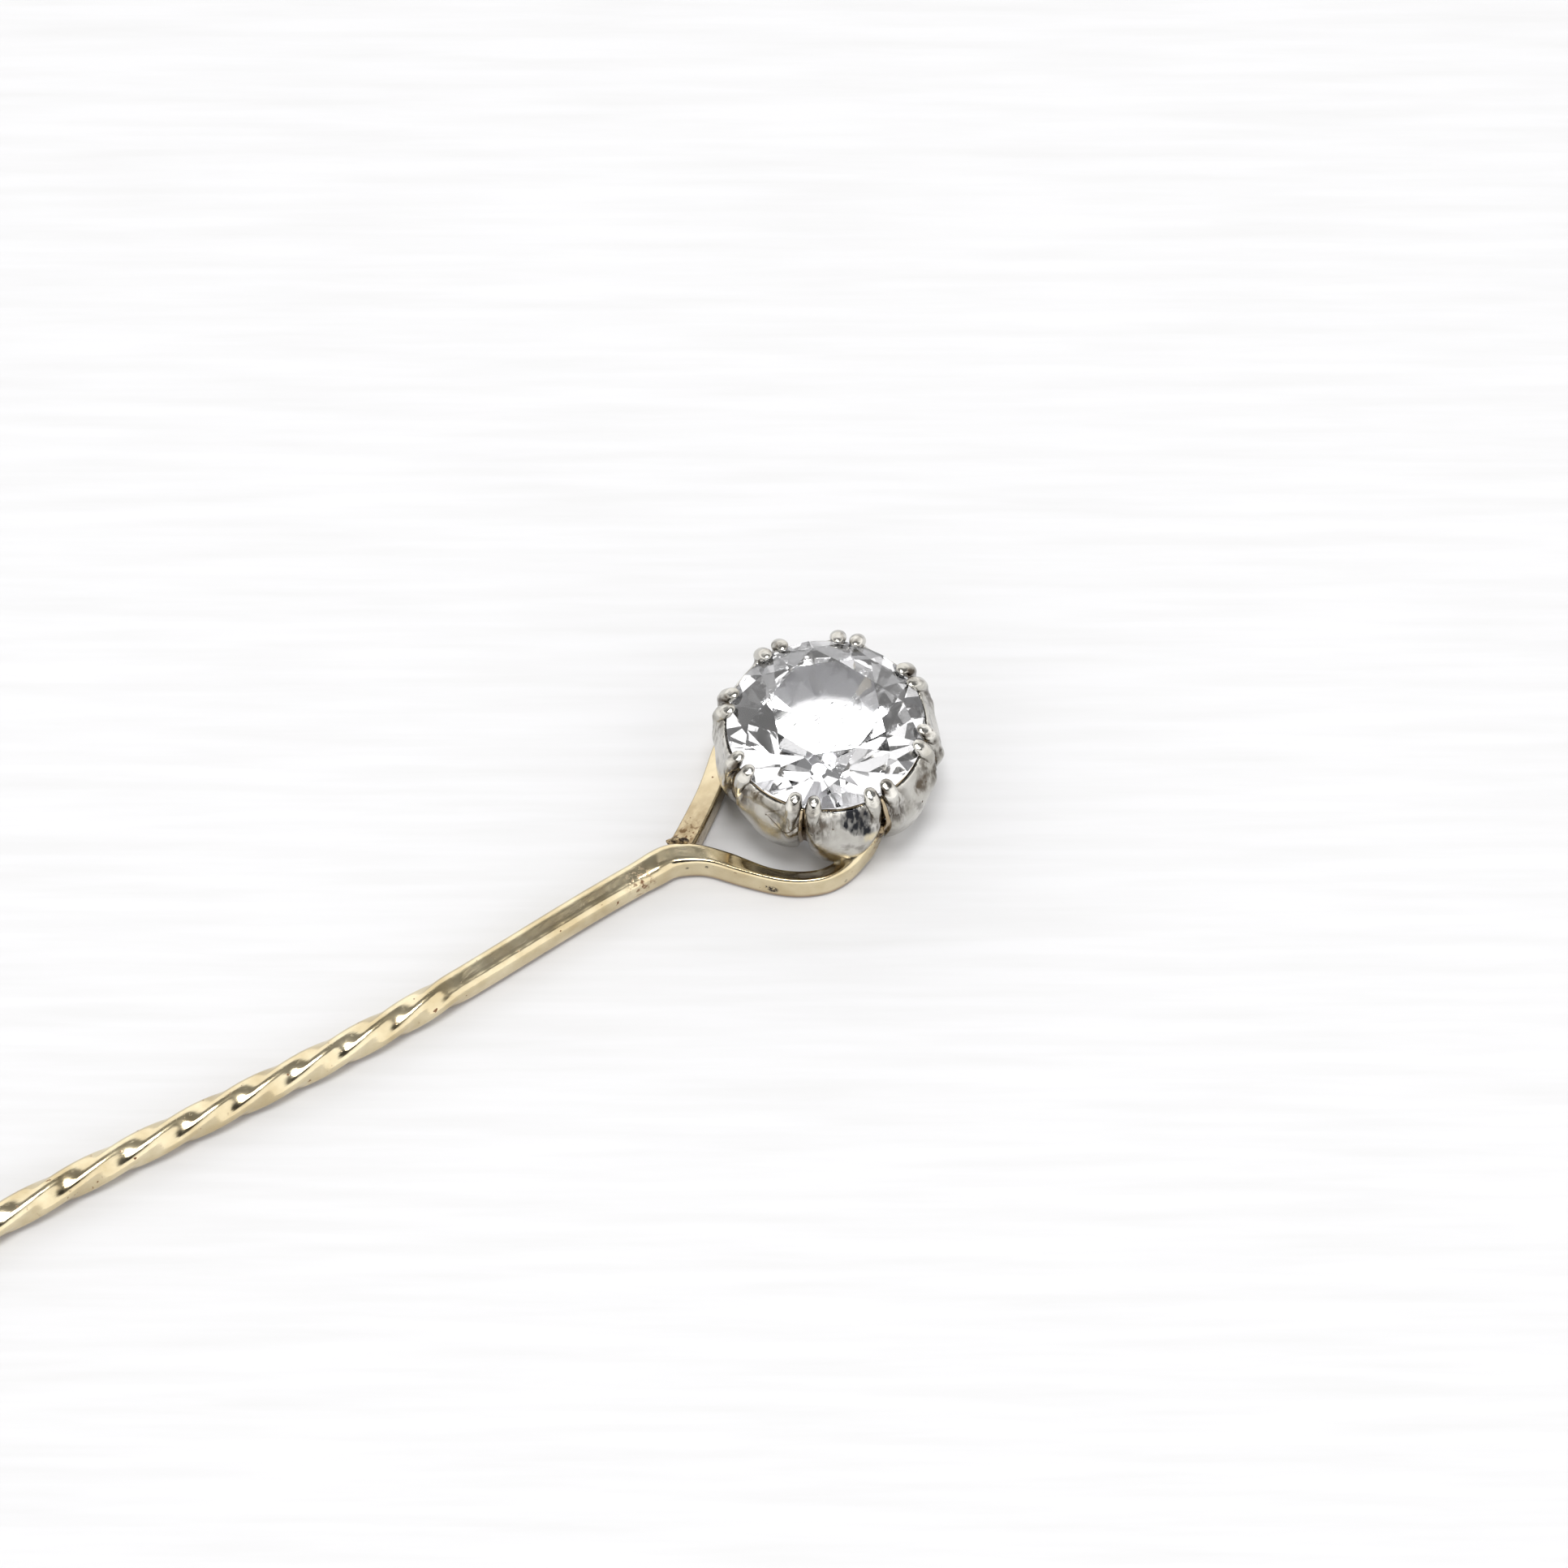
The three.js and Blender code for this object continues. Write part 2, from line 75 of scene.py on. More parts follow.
# ---------------------------------------------------------------------------------------------
# Light: a white tent, open at the top to a dim ceiling. Its walls reach half way up, and higher
# on the near side. The lens looks in through a dark gap, a lamp hangs almost straight overhead,
# and a small bright hatch stands where the stone's flat top mirrors it to the camera.
TENT_LIGHT = 1.5
WALL = (0.69, (1.0, 0.993, 0.985))  # height at which the walls begin to dim, and their tone
CEILING = (0.79, (0.19, 0.19, 0.19))  # height at which the ceiling begins, and its tone
NEAR_RISE = 0.65
GAP_ACROSS, GAP_UP = 0.50, 0.45
GAP_SOFT_FROM, GAP_DARK = 0.8, 0.02
HATCH_LIGHT = 12.0
HATCH_ANGLES = (0.55, 0.45)  # degrees from its middle: where it is gone, and where it is full
LAMP_TILT = math.radians(5)
LAMP_AWAY = 0.4


def plug(tree, value, socket):
    """Sets a node's socket to a plain value, or plugs another node's result into it."""
    if isinstance(value, bpy.types.NodeSocket):
        tree.links.new(value, socket)
    elif socket.type == "RGBA":
        socket.default_value = (*value, 1)
    else:
        socket.default_value = value


def worked(tree, kind, *values, clamp=True):
    """The result of a sum on plain or plugged numbers, held between 0 and 1 if clamped."""
    sum_up = tree.nodes.new("ShaderNodeMath")
    sum_up.operation = kind
    sum_up.use_clamp = clamp
    for value, socket in zip(values, sum_up.inputs):
        plug(tree, value, socket)
    return sum_up.outputs[0]


def vector_worked(tree, kind, value, other=None, result="Value"):
    """The result of a sum on a plugged vector and, where there is one, a plain one."""
    sum_up = tree.nodes.new("ShaderNodeVectorMath")
    sum_up.operation = kind
    if other is not None:
        sum_up.inputs[1].default_value = other
    tree.links.new(value, sum_up.inputs[0])
    return sum_up.outputs[result]


def split_up(tree, value):
    """The X, Y and Z of a plugged vector."""
    xyz = tree.nodes.new("ShaderNodeSeparateXYZ")
    tree.links.new(value, xyz.inputs[0])
    return xyz.outputs


def ranged(tree, value, low, high, to_low=0.0, to_high=1.0, smooth=False):
    """A plugged number carried from one range to another and held at its ends."""
    level = tree.nodes.new("ShaderNodeMapRange")
    level.interpolation_type = "SMOOTHSTEP" if smooth else "LINEAR"
    for size, socket in ((low, "From Min"), (high, "From Max"),
                         (to_low, "To Min"), (to_high, "To Max")):
        level.inputs[socket].default_value = size
    tree.links.new(value, level.inputs["Value"])
    return level.outputs["Result"]


def mixed(tree, kind, amount, a, b):
    """The mix of two plain or plugged colours."""
    mix = tree.nodes.new("ShaderNodeMix")
    mix.data_type = "RGBA"
    mix.blend_type = kind
    for value, socket in ((amount, "Factor"), (a, "A"), (b, "B")):
        plug(tree, value, mix.inputs[socket])
    return mix.outputs["Result"]


def shaded(tree, value, stops, blend="LINEAR"):
    """The colour that a plugged number picks between two (place, colour) stops."""
    scale = tree.nodes.new("ShaderNodeValToRGB")
    scale.color_ramp.interpolation = blend
    for stop, (place, colour) in zip(scale.color_ramp.elements, stops):
        stop.position = place
        stop.color = (*colour, 1)
    tree.links.new(value, scale.inputs["Fac"])
    return scale.outputs["Color"]


tent = bpy.data.worlds.new("tent")
bpy.context.scene.world = tent
tent.use_nodes = True
tree = tent.node_tree
tree.nodes.clear()
toward = tree.nodes.new("ShaderNodeTexCoord").outputs["Generated"]
on_near_side = worked(tree, "MINIMUM", vector_worked(tree, "DOT_PRODUCT", toward, away), 0,
                      clamp=False)
height = worked(tree, "MULTIPLY_ADD", on_near_side, NEAR_RISE, split_up(tree, toward)["Z"],
                clamp=False)
walls = shaded(tree, height, (WALL, CEILING), "EASE")
off_lens = tree.nodes.new("ShaderNodeCombineXYZ")
beside_lens = vector_worked(tree, "DOT_PRODUCT", toward, across / GAP_ACROSS)
above_lens = vector_worked(tree, "DOT_PRODUCT", toward, up / GAP_UP)
before_lens = vector_worked(tree, "DOT_PRODUCT", toward, forward)
tree.links.new(beside_lens, off_lens.inputs["X"])
tree.links.new(above_lens, off_lens.inputs["Y"])
tree.links.new(worked(tree, "GREATER_THAN", before_lens, 0, clamp=False), off_lens.inputs["Z"])
from_lens = vector_worked(tree, "LENGTH", off_lens.outputs["Vector"])
gap = ranged(tree, from_lens, GAP_SOFT_FROM, 1.0, GAP_DARK, 1.0)
hatch_spot = AXIS + Vector((0, 0, stone_high.z)) - away * 2.75 * MM + across * 0.1 * MM - eye
to_hatch = Vector((hatch_spot.x, hatch_spot.y, -hatch_spot.z)).normalized()
hatch = ranged(tree, vector_worked(tree, "DOT_PRODUCT", toward, to_hatch),
               math.cos(math.radians(HATCH_ANGLES[0])), math.cos(math.radians(HATCH_ANGLES[1])),
               0.0, HATCH_LIGHT, smooth=True)
lit = mixed(tree, "ADD", 1, mixed(tree, "MULTIPLY", 1, walls, gap), hatch)
sky = tree.nodes.new("ShaderNodeBackground")
sky.inputs["Strength"].default_value = TENT_LIGHT
tree.links.new(lit, sky.inputs["Color"])
seen = tree.nodes.new("ShaderNodeOutputWorld")
tree.links.new(sky.outputs[0], seen.inputs["Surface"])

lamp_from = (Vector((0, 0, 1)) - away * math.tan(LAMP_TILT)).normalized()
bpy.ops.object.light_add(type="AREA", location=AXIS + lamp_from * LAMP_AWAY)
lamp = bpy.context.object
lamp.name = "lamp"
lamp.data.shape = "DISK"
lamp.data.size = 0.15
lamp.data.energy = 0.9
lamp.rotation_euler = lamp_from.to_track_quat("Z", "Y").to_euler()

bpy.context.scene.view_settings.view_transform = "Standard"

# ---------------------------------------------------------------------------------------------
# Board: a painted white board, with faint brush streaks along it. The pin lies on it at a slant
# to them.


def material(name, settings):
    """A new material with its plain settings, its nodes, and the place on the pin, plugged."""
    made = bpy.data.materials.new(name)
    made.use_nodes = True
    tree = made.node_tree
    for setting, value in settings.items():
        tree.nodes["Principled BSDF"].inputs[setting].default_value = value
    return made, tree, tree.nodes.new("ShaderNodeTexCoord").outputs["Object"]


def finished(tree, setting, value):
    """Plugs a value into one of a material's settings."""
    tree.links.new(value, tree.nodes["Principled BSDF"].inputs[setting])


def embossed(tree, height, strength, distance):
    """Raises a material's skin by a plugged height."""
    relief = tree.nodes.new("ShaderNodeBump")
    relief.inputs["Strength"].default_value = strength
    relief.inputs["Distance"].default_value = distance
    tree.links.new(height, relief.inputs["Height"])
    finished(tree, "Normal", relief.outputs["Normal"])


bpy.ops.object.select_all(action="DESELECT")
bpy.ops.mesh.primitive_plane_add(size=1.2, location=(0, 0, 0))
board = bpy.context.object
board.name = board.data.name = "board"
paint, tree, where = material("board_paint", {"Roughness": 0.6, "Specular IOR Level": 0.2})
turn = tree.nodes.new("ShaderNodeMapping")
turn.vector_type = "TEXTURE"
turn.inputs["Rotation"].default_value = (0, 0, -LOOK_ROUND)
turn.inputs["Scale"].default_value = (1 / 18, 1 / 260, 1)
streaks = tree.nodes.new("ShaderNodeTexNoise")
streaks.inputs["Scale"].default_value = 6
streaks.inputs["Detail"].default_value = 6
tree.links.new(where, turn.inputs["Vector"])
tree.links.new(turn.outputs["Vector"], streaks.inputs["Vector"])
finished(tree, "Base Color", shaded(tree, streaks.outputs["Fac"], (
    (0.30, (0.655, 0.655, 0.66)), (0.62, (0.69, 0.69, 0.70)))))
embossed(tree, streaks.outputs["Fac"], 0.12, 0.05 * MM)
board.data.materials.append(paint)

# ---------------------------------------------------------------------------------------------
# Stem and right arm: one length of square gold wire with rounded edges, twisted for a grip. It
# is drawn down to a round sharp point at one end and, at the other, hammered narrower and bent
# out and round to the head's side.
WIRE = 1.08 * MM
WIRE_ROUND = 0.36 * MM
ROUND_WIRE = 1.02 * MM
TIP = 0.06 * MM
RIDGE = (WIRE / 2 - WIRE_ROUND) * math.sqrt(2) + WIRE_ROUND
TWIST_START = AXIS.x - 15.5 * MM
TWIST_END = AXIS.x - 38.2 * MM
TWIST_EASE = 1.2 * MM  # length over which the twist sets in and dies away
TWIST_STEP = 0.16 * MM
QUARTER_TURN = [(8 * MM, 2.15 * MM), (TWIST_START - TWIST_END, 2.75 * MM)]
TAPER_START = AXIS.x - 49 * MM
FORK_X = AXIS.x - 7.4 * MM
POINT_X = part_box("pin_stem")[0].x
CORNER = 6  # steps round each edge of the wire
BOW = [(-34, 0.0), (-19, -0.5), (-7.4, 0.0)]  # how far the used wire has bent sideways


def eased(pairs, at):
    """A size read off a short list of (place, size) pairs, with smooth steps between them."""
    if at <= pairs[0][0]:
        return pairs[0][1]
    for (low, a), (high, b) in zip(pairs, pairs[1:]):
        if at <= high:
            t = (at - low) / (high - low)
            return a + (b - a) * t * t * (3 - 2 * t)
    return pairs[-1][1]


def bar_section(width, height, rounding, drop=0.0):
    """The outline of a bar as (across, up) pairs, its left top edge let down where filed."""
    outline = []
    corners = [(1, 1, drop), (-1, 1, 0.0), (-1, -1, 0.0), (1, -1, 0.0)]
    for quarter, (side, level, fall) in enumerate(corners):
        centre = (side * (width / 2 - rounding), level * (height / 2 - rounding) - fall)
        for step in range(CORNER + 1):
            angle = (quarter + step / CORNER) * math.pi / 2
            outline.append((centre[0] + rounding * math.cos(angle),
                            centre[1] + rounding * math.sin(angle)))
    return outline


def bar_ring(point, heading, outline, turn=0.0):
    """That outline stood square across a bar at a point, turned about the bar's own line."""
    side = Vector((-math.sin(heading), math.cos(heading), 0))
    ring = []
    for a, b in outline:
        y = a * math.cos(turn) - b * math.sin(turn)
        z = a * math.sin(turn) + b * math.cos(turn)
        ring.append(point + side * y + Vector((0, 0, z)))
    return ring


def draw_out(name, rings):
    """A disc whose face is extruded ring by ring, as a bar is drawn out and bent, and then
    rounded off and shaded smooth."""
    bpy.ops.object.select_all(action="DESELECT")
    bpy.ops.mesh.primitive_circle_add(vertices=len(rings[0]), radius=MM, fill_type="NGON")
    bar = bpy.context.object
    bar.name = bar.data.name = name
    bpy.ops.object.mode_set(mode="EDIT")
    bpy.ops.mesh.select_mode(type="FACE")
    mesh = bmesh.from_edit_mesh(bar.data)
    for vert, place in zip(mesh.faces[:][0].verts, rings[0]):
        vert.co = place
    bpy.ops.mesh.select_all(action="SELECT")
    for before, ring in zip(rings, rings[1:]):
        bpy.ops.mesh.extrude_region_move()
        mesh = bmesh.from_edit_mesh(bar.data)
        face = next(f for f in mesh.faces if f.select)
        for vert in face.verts:
            nearest = min(range(len(ring)), key=lambda k: (before[k] - vert.co).length)
            vert.co = ring[nearest]
    bpy.ops.mesh.select_all(action="SELECT")
    bpy.ops.mesh.normals_make_consistent(inside=False)
    bpy.ops.object.mode_set(mode="OBJECT")
    soften = bar.modifiers.new("soften", "SUBSURF")
    soften.levels = soften.render_levels = 1
    bpy.ops.object.modifier_apply(modifier="soften")
    bpy.ops.object.shade_smooth()
    return bar


def bent(path, count):
    """Evenly spaced points, with headings, along a smooth line through a path's points."""
    knots = [AXIS + Vector((x, y, 0)) * MM for x, y in path]
    knots = [2 * knots[0] - knots[1], *knots, 2 * knots[-1] - knots[-2]]
    fine = []
    for a, b, c, d in zip(knots, knots[1:], knots[2:], knots[3:]):
        for step in range(24):
            t = step / 24
            fine.append(0.5 * (2 * b + (c - a) * t + (2 * a - 5 * b + 4 * c - d) * t ** 2
                               + (3 * b - a - 3 * c + d) * t ** 3))
    fine.append(knots[-2])
    run = [0.0]
    for a, b in zip(fine, fine[1:]):
        run.append(run[-1] + (b - a).length)
    spaced = []
    for k in range(count + 1):
        want = run[-1] * k / count
        i = max(j for j in range(len(run) - 1) if run[j] <= want + 1e-12)
        t = (want - run[i]) / (run[i + 1] - run[i])
        line = fine[min(i + 2, len(fine) - 1)] - fine[max(i - 1, 0)]
        spaced.append((fine[i].lerp(fine[i + 1], min(t, 1)), math.atan2(line.y, line.x)))
    return spaced


def arm_rings(path, count, width, height, rounding, slope, lift):
    """Rings of an arm. Its sizes are lists that run from 0 at the fork to 1 at the head."""
    rings = []
    for k, (place, heading) in enumerate(bent(path, count)):
        at = k / count
        tall = eased(height, at) * MM
        outline = bar_section(eased(width, at) * MM, tall, eased(rounding, at) * MM,
                              eased(slope, at) * MM)
        raised = Vector((0, 0, tall / 2 + eased(lift, at) * MM))
        rings.append(bar_ring(place + raised, heading, outline))
    return rings


def twist_rate(x):
    """Radians of turn for each metre of wire at x: even near the head, looser further off."""
    along = TWIST_START - x
    left = TWIST_START - TWIST_END - along
    pitch = eased(QUARTER_TURN, along)
    return max(0, min(1, along / TWIST_EASE, left / TWIST_EASE)) * math.pi / 2 / pitch


def wire_ring(x, turn):
    """A ring of the stem: square by the head, round past the twist, and thinner to the point."""
    square = eased([(TWIST_END, 0), (TWIST_END + 3 * MM, 1)], x)
    taper = max(0.0, min(1, (x - POINT_X) / (TAPER_START - POINT_X)))
    thin = TIP + (ROUND_WIRE - TIP) * taper ** 0.75
    width = thin + (WIRE - thin) * square
    rounding = (thin + (2 * WIRE_ROUND - thin) * square) / 2 * 0.999
    lie = eased([(0, WIRE / 2), (TWIST_EASE, RIDGE)], TWIST_START - x)
    bow = eased(BOW, (x - AXIS.x) / MM) * MM
    return bar_ring(Vector((x, AXIS.y + bow, lie)), 0, bar_section(width, width, rounding), turn)


x = TWIST_START
turns = [(x, 0.0)]
while x > TWIST_END:
    more = twist_rate(x - TWIST_STEP / 2) * TWIST_STEP
    turns.append((x - TWIST_STEP, turns[-1][1] + more))
    x -= TWIST_STEP
last_turn = turns[-1][1]
beyond = [x - 0.7 * MM * k for k in range(1, 60)]
beyond = [place for place in beyond if place > POINT_X + 0.4 * MM]
beyond += [POINT_X + 0.12 * MM, POINT_X]
untwisted = [FORK_X - 0.6 * MM * k for k in range(13, 0, -1)]
stem_rings = [wire_ring(place, last_turn) for place in beyond[::-1]]
stem_rings += [wire_ring(place, turn) for place, turn in turns[::-1]]
stem_rings += [wire_ring(place, 0) for place in untwisted if place > TWIST_START]
stem_rings += arm_rings(
    [(-7.4, 0), (-6.75, -0.02), (-6.15, -0.28), (-5.46, -0.82), (-4.69, -1.76), (-3.86, -2.68),
     (-3.16, -3.24), (-2.43, -3.57), (-1.84, -3.64), (-1.24, -3.56), (-0.68, -3.38),
     (-0.2, -3.16), (0.2, -2.95)], 64,
    width=[(0, 1.14), (0.25, 0.8), (0.6, 0.84), (0.86, 0.84), (0.93, 0.94), (1, 0.8)],
    height=[(0, 1.14), (0.2, 1.1), (0.8, 1.1), (1, 1.35)],
    rounding=[(0, 0.36), (0.2, 0.19), (0.74, 0.15), (0.84, 0.3), (1, 0.38)],
    slope=[(0.16, 0.0), (0.3, 0.1), (0.5, 0.44), (0.78, 0.5), (0.80, 0.04), (1, 0.0)],
    lift=[(0.8, 0), (1, 0.3)])
stem = draw_out("stem_and_right_arm", stem_rings)


def patches(tree, where, size, low, high, detail=4.0, stretch=(1, 1, 1), shift=0.0):
    """Noise with patches of a size in mm, stretched and cut between two levels to a mask."""
    turn = tree.nodes.new("ShaderNodeMapping")
    turn.inputs["Scale"].default_value = stretch
    turn.inputs["Location"].default_value = (shift, shift, shift)
    grain = tree.nodes.new("ShaderNodeTexNoise")
    grain.inputs["Scale"].default_value = 1 / (size * MM)
    grain.inputs["Detail"].default_value = detail
    tree.links.new(where, turn.inputs["Vector"])
    tree.links.new(turn.outputs["Vector"], grain.inputs["Vector"])
    return ranged(tree, grain.outputs["Fac"], low, high)


def near(tree, where, centre, inside, outside):
    """1 close to a point of the pin and 0 further off, all in mm from the head's axis."""
    distance = vector_worked(tree, "DISTANCE", where, AXIS + Vector(centre) * MM)
    return ranged(tree, distance, inside * MM, outside * MM, 1, 0, smooth=True)


def times(tree, a, b):
    """The product of two plain or plugged numbers."""
    return worked(tree, "MULTIPLY", a, b)


def tinted(tree, amount, tint):
    """Lays a tint over a material's colour, as far as a plugged amount says."""
    colour = tree.nodes["Principled BSDF"].inputs["Base Color"].links[0].from_socket
    finished(tree, "Base Color", mixed(tree, "MIX", amount, colour, tint))


def metal(name, bright, dull, stain, rough, stains=(), dented=0.4):
    """Worn polished metal: two tones, painted shade near the board, fine scratches, dents, and
    specks of a stain, which crowd together at the (centre, inside, outside) places in stains."""
    made, tree, where = material(name, {"Metallic": 1})
    tone = mixed(tree, "MIX", patches(tree, where, 1.4, 0.35, 0.65), bright, dull)
    # Painted shade: the metal darkens to its stain colour close to the board, where the contact
    # shadow falls.
    painted_contact_shade = ranged(tree, split_up(tree, where)["Z"], 0.30 * MM, 0.12 * MM, 0.0, 0.75)
    specks = patches(tree, where, 0.22, 0.70, 0.74, detail=3)
    for k, place in enumerate(stains):
        crowd = times(tree, near(tree, where, *place),
                      patches(tree, where, 0.17, 0.52, 0.60, detail=3, shift=k + 1.0))
        specks = worked(tree, "MAXIMUM", specks, crowd)
    finished(tree, "Base Color", mixed(tree, "MIX", painted_contact_shade, tone, stain))
    tinted(tree, specks, stain)
    polish = ranged(tree, patches(tree, where, 0.5, 0.3, 0.75), 0.0, 1.0, *rough)
    finished(tree, "Roughness", worked(tree, "ADD", polish, times(tree, specks, 0.45)))
    scratches = times(tree, patches(tree, where, 0.045, 0.3, 0.7, stretch=(0.08, 1, 1)), 0.16)
    dents = times(tree, patches(tree, where, 0.7, 0.2, 0.8, detail=2), 0.8)
    skin = worked(tree, "ADD", scratches, dents)
    skin = worked(tree, "SUBTRACT", skin, times(tree, specks, 0.35))
    embossed(tree, skin, 0.5, 0.03 * MM * dented)
    return made, tree, where


GOLD = (0.74, 0.65, 0.45)
GOLD_DULL = (0.56, 0.46, 0.28)
GOLD_STAIN = (0.20, 0.10, 0.05)
# Small knocks on the right arm's outer wall: place and size in mm.
KNOCKS = [((-4.15, -2.98, 0.45), 0.26), ((-4.28, -2.86, 0.55), 0.16),
          ((-6.36, -0.62, 0.72), 0.12), ((-5.8, -1.08, 0.8), 0.1), ((-1.7, -4.05, 0.4), 0.1)]
stem_gold, tree, where = metal("wire_gold", GOLD, GOLD_DULL, GOLD_STAIN, (0.10, 0.24), [
    ((-0.1, -3.2, 1.0), 0.2, 0.9), ((-8.2, -0.3, 0.8), 0.1, 0.8)])
# Painted dark reflection: the upward-facing top of the right arm is tinted dark brown in streaks,
# standing in for the dark surroundings that it mirrors.
painted_darkening = times(tree, near(tree, where, (-2.5, -3.1, 1.0), 0.5, 2.6),
               patches(tree, where, 0.3, 0.38, 0.62, stretch=(0.35, 0.5, 1)))
slope = tree.nodes.new("ShaderNodeNewGeometry")
upward = vector_worked(tree, "DOT_PRODUCT", slope.outputs["Normal"], (0.2, 0.35, 0.92))
tinted(tree, times(tree, painted_darkening, ranged(tree, upward, 0.5, 0.85)), (0.20, 0.13, 0.065))
for place, size in KNOCKS:
    knock = times(tree, near(tree, where, place, size * 0.4, size),
                  patches(tree, where, 0.08, 0.40, 0.52))
    tinted(tree, knock, (0.03, 0.02, 0.015))
stem.data.materials.append(stem_gold)
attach(stem, "root")
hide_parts("pin_stem")

# ---------------------------------------------------------------------------------------------
# Left arm: a flat gold bar, its top filed to slope down to the outside, and bent in to the far
# side of the head. It is butted against the wire at the fork and soldered there, and painted
# shade darkens it towards the fork.
left_arm = draw_out("left_arm_bar", arm_rings(
    [(-6.15, 0.16), (-5.5, 0.58), (-4.7, 1.13), (-3.9, 1.72), (-3.2, 2.32), (-2.5, 2.95),
     (-1.85, 3.36), (-1.2, 3.36), (-0.5, 2.98), (-0.12, 2.78)], 48,
    width=[(0, 0.98), (0.5, 0.92), (0.9, 0.84), (1, 0.66)],
    height=[(0, 1.1), (0.85, 1.1), (1, 1.0)],
    rounding=[(0, 0.13), (0.8, 0.15), (1, 0.32)],
    slope=[(0, 0.30), (0.7, 0.34), (0.9, 0.0)],
    lift=[(0.8, 0), (1, 0.14)]))
bar_gold, tree, where = metal("bar_gold", (0.66, 0.57, 0.39), (0.50, 0.41, 0.26), GOLD_STAIN,
                              (0.14, 0.30), [((-5.7, 0.5, 0.9), 0.1, 0.9)])
# Painted shade: the bar is tinted darker in patches towards the fork.
painted_darkening = times(tree, near(tree, where, (-5.9, 0.3, 0.8), 0.3, 3.0),
               patches(tree, where, 0.25, 0.2, 0.75, stretch=(0.5, 0.5, 1)))
tinted(tree, painted_darkening, (0.22, 0.15, 0.075))
left_arm.data.materials.append(bar_gold)
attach(left_arm, "root")
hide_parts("left_arm")

# ---------------------------------------------------------------------------------------------
# Petals: eight leaves of sheet, silver laminated on gold, raised over a stake so that they belly
# out, each with two thick claws worked up from its top corners and bent in over the stone.
PETALS = 8
STEP = 2 * math.pi / PETALS
SILVER, LINING = 0.26, 0.18  # thickness of the two sheets
SUNK = 0.05  # how far the lining is let into the silver
SPREAD = 0.07  # how far the lining shows past the silver at its sides
BELLY = [(0.0, 3.06), (0.5, 3.43), (1.12, 3.78), (1.95, 4.07), (2.7, 4.22), (3.25, 4.19),
         (3.6, 4.08), (3.85, 3.91), (4.02, 3.76), (4.14, 3.68), (4.45, 3.68)]  # height, radius
FOOT_RISE, FOOT_CURVE = 1.25, 2.8
EDGE, EDGE_RISE = 4.06, 0.36  # height of the top edge, and how much higher its corners are
# By height, in mm: how far the sides fall back, half the gap between petals, and how strong the
# ribs below the claws and the scoop between the ribs are.
FALL = [(0, 0.2), (1.2, 0.34), (3.2, 0.3), (4, 0.02)]
GROOVE = [(0, 0.34), (1.8, 0.19), (3.6, 0.10)]
RIBBED = [(1.4, 0), (3.2, 1), (4.1, 0.5)]
SCOOPED = [(1.4, 0), (3.4, 1), (4.1, 0.1)]
RIB, RIB_AT, RIB_WIDE = 0.17, 0.76, 0.18
SCOOP = 0.32
# Along a claw, from -1 at its tail to 1 at its tip: thickness, radius from the axis, height.
CLAW = 0.32
CLAW_APART = 0.295
CLAW_FULL = [(-1.0, 0.0), (-0.8, 0.36), (-0.1, 0.72), (0.4, 1.0), (0.85, 0.74), (1.0, 0.0)]
CLAW_OUT = [(-1.0, 4.06), (-0.1, 3.93), (0.45, 3.72), (1.0, 3.46)]
CLAW_UP = [(-1.0, 3.15), (-0.1, 4.02), (0.45, 4.34), (0.85, 4.60), (1.0, 4.66)]


def round_head(radius, angle, z):
    """A point of the head, from its radius and height in mm and its bearing."""
    return AXIS + Vector((radius * math.cos(angle), radius * math.sin(angle), z)) * MM


def belly_radius(z):
    """The petal's outline seen from the side: a smooth line through the belly's points."""
    points = [(2 * BELLY[0][0] - BELLY[1][0], 2 * BELLY[0][1] - BELLY[1][1]), *BELLY,
              (2 * BELLY[-1][0] - BELLY[-2][0], 2 * BELLY[-1][1] - BELLY[-2][1])]
    z = max(BELLY[0][0], min(BELLY[-1][0], z))
    for (z0, r0), (z1, r1), (z2, r2), (z3, r3) in zip(points, points[1:], points[2:], points[3:]):
        if z1 <= z <= z2:
            t = (z - z1) / (z2 - z1)
            m1 = (r2 - r0) / (z2 - z0) * (z2 - z1)
            m2 = (r3 - r1) / (z3 - z1) * (z2 - z1)
            return ((2 * t ** 3 - 3 * t ** 2 + 1) * r1 + (t ** 3 - 2 * t ** 2 + t) * m1
                    + (-2 * t ** 3 + 3 * t ** 2) * r2 + (t ** 3 - t ** 2) * m2)
    return BELLY[-1][1]


def petal_point(u, v, inset, spread, top):
    """A point of a petal that looks along +X: u runs -1 to 1 across it, v 0 to 1 up it."""
    arch = 1 - (1 - min(1, abs(u)) ** FOOT_CURVE) ** (1 / FOOT_CURVE)
    foot = max(0.0, FOOT_RISE * arch - spread * 0.7)
    edge = min(top, EDGE + EDGE_RISE * abs(u) ** 3)
    z = foot + (edge - foot) * v
    rib = RIB * math.exp(-((abs(u) - RIB_AT) / RIB_WIDE) ** 2) * eased(RIBBED, z)
    scoop = SCOOP * (1 - u * u) ** 1.6 * eased(SCOOPED, z)
    radius = belly_radius(z) - eased(FALL, z) * abs(u) ** 2.4 + rib - scoop - inset
    return round_head(radius, u * (STEP / 2 - (eased(GROOVE, z) - spread) / radius), z)


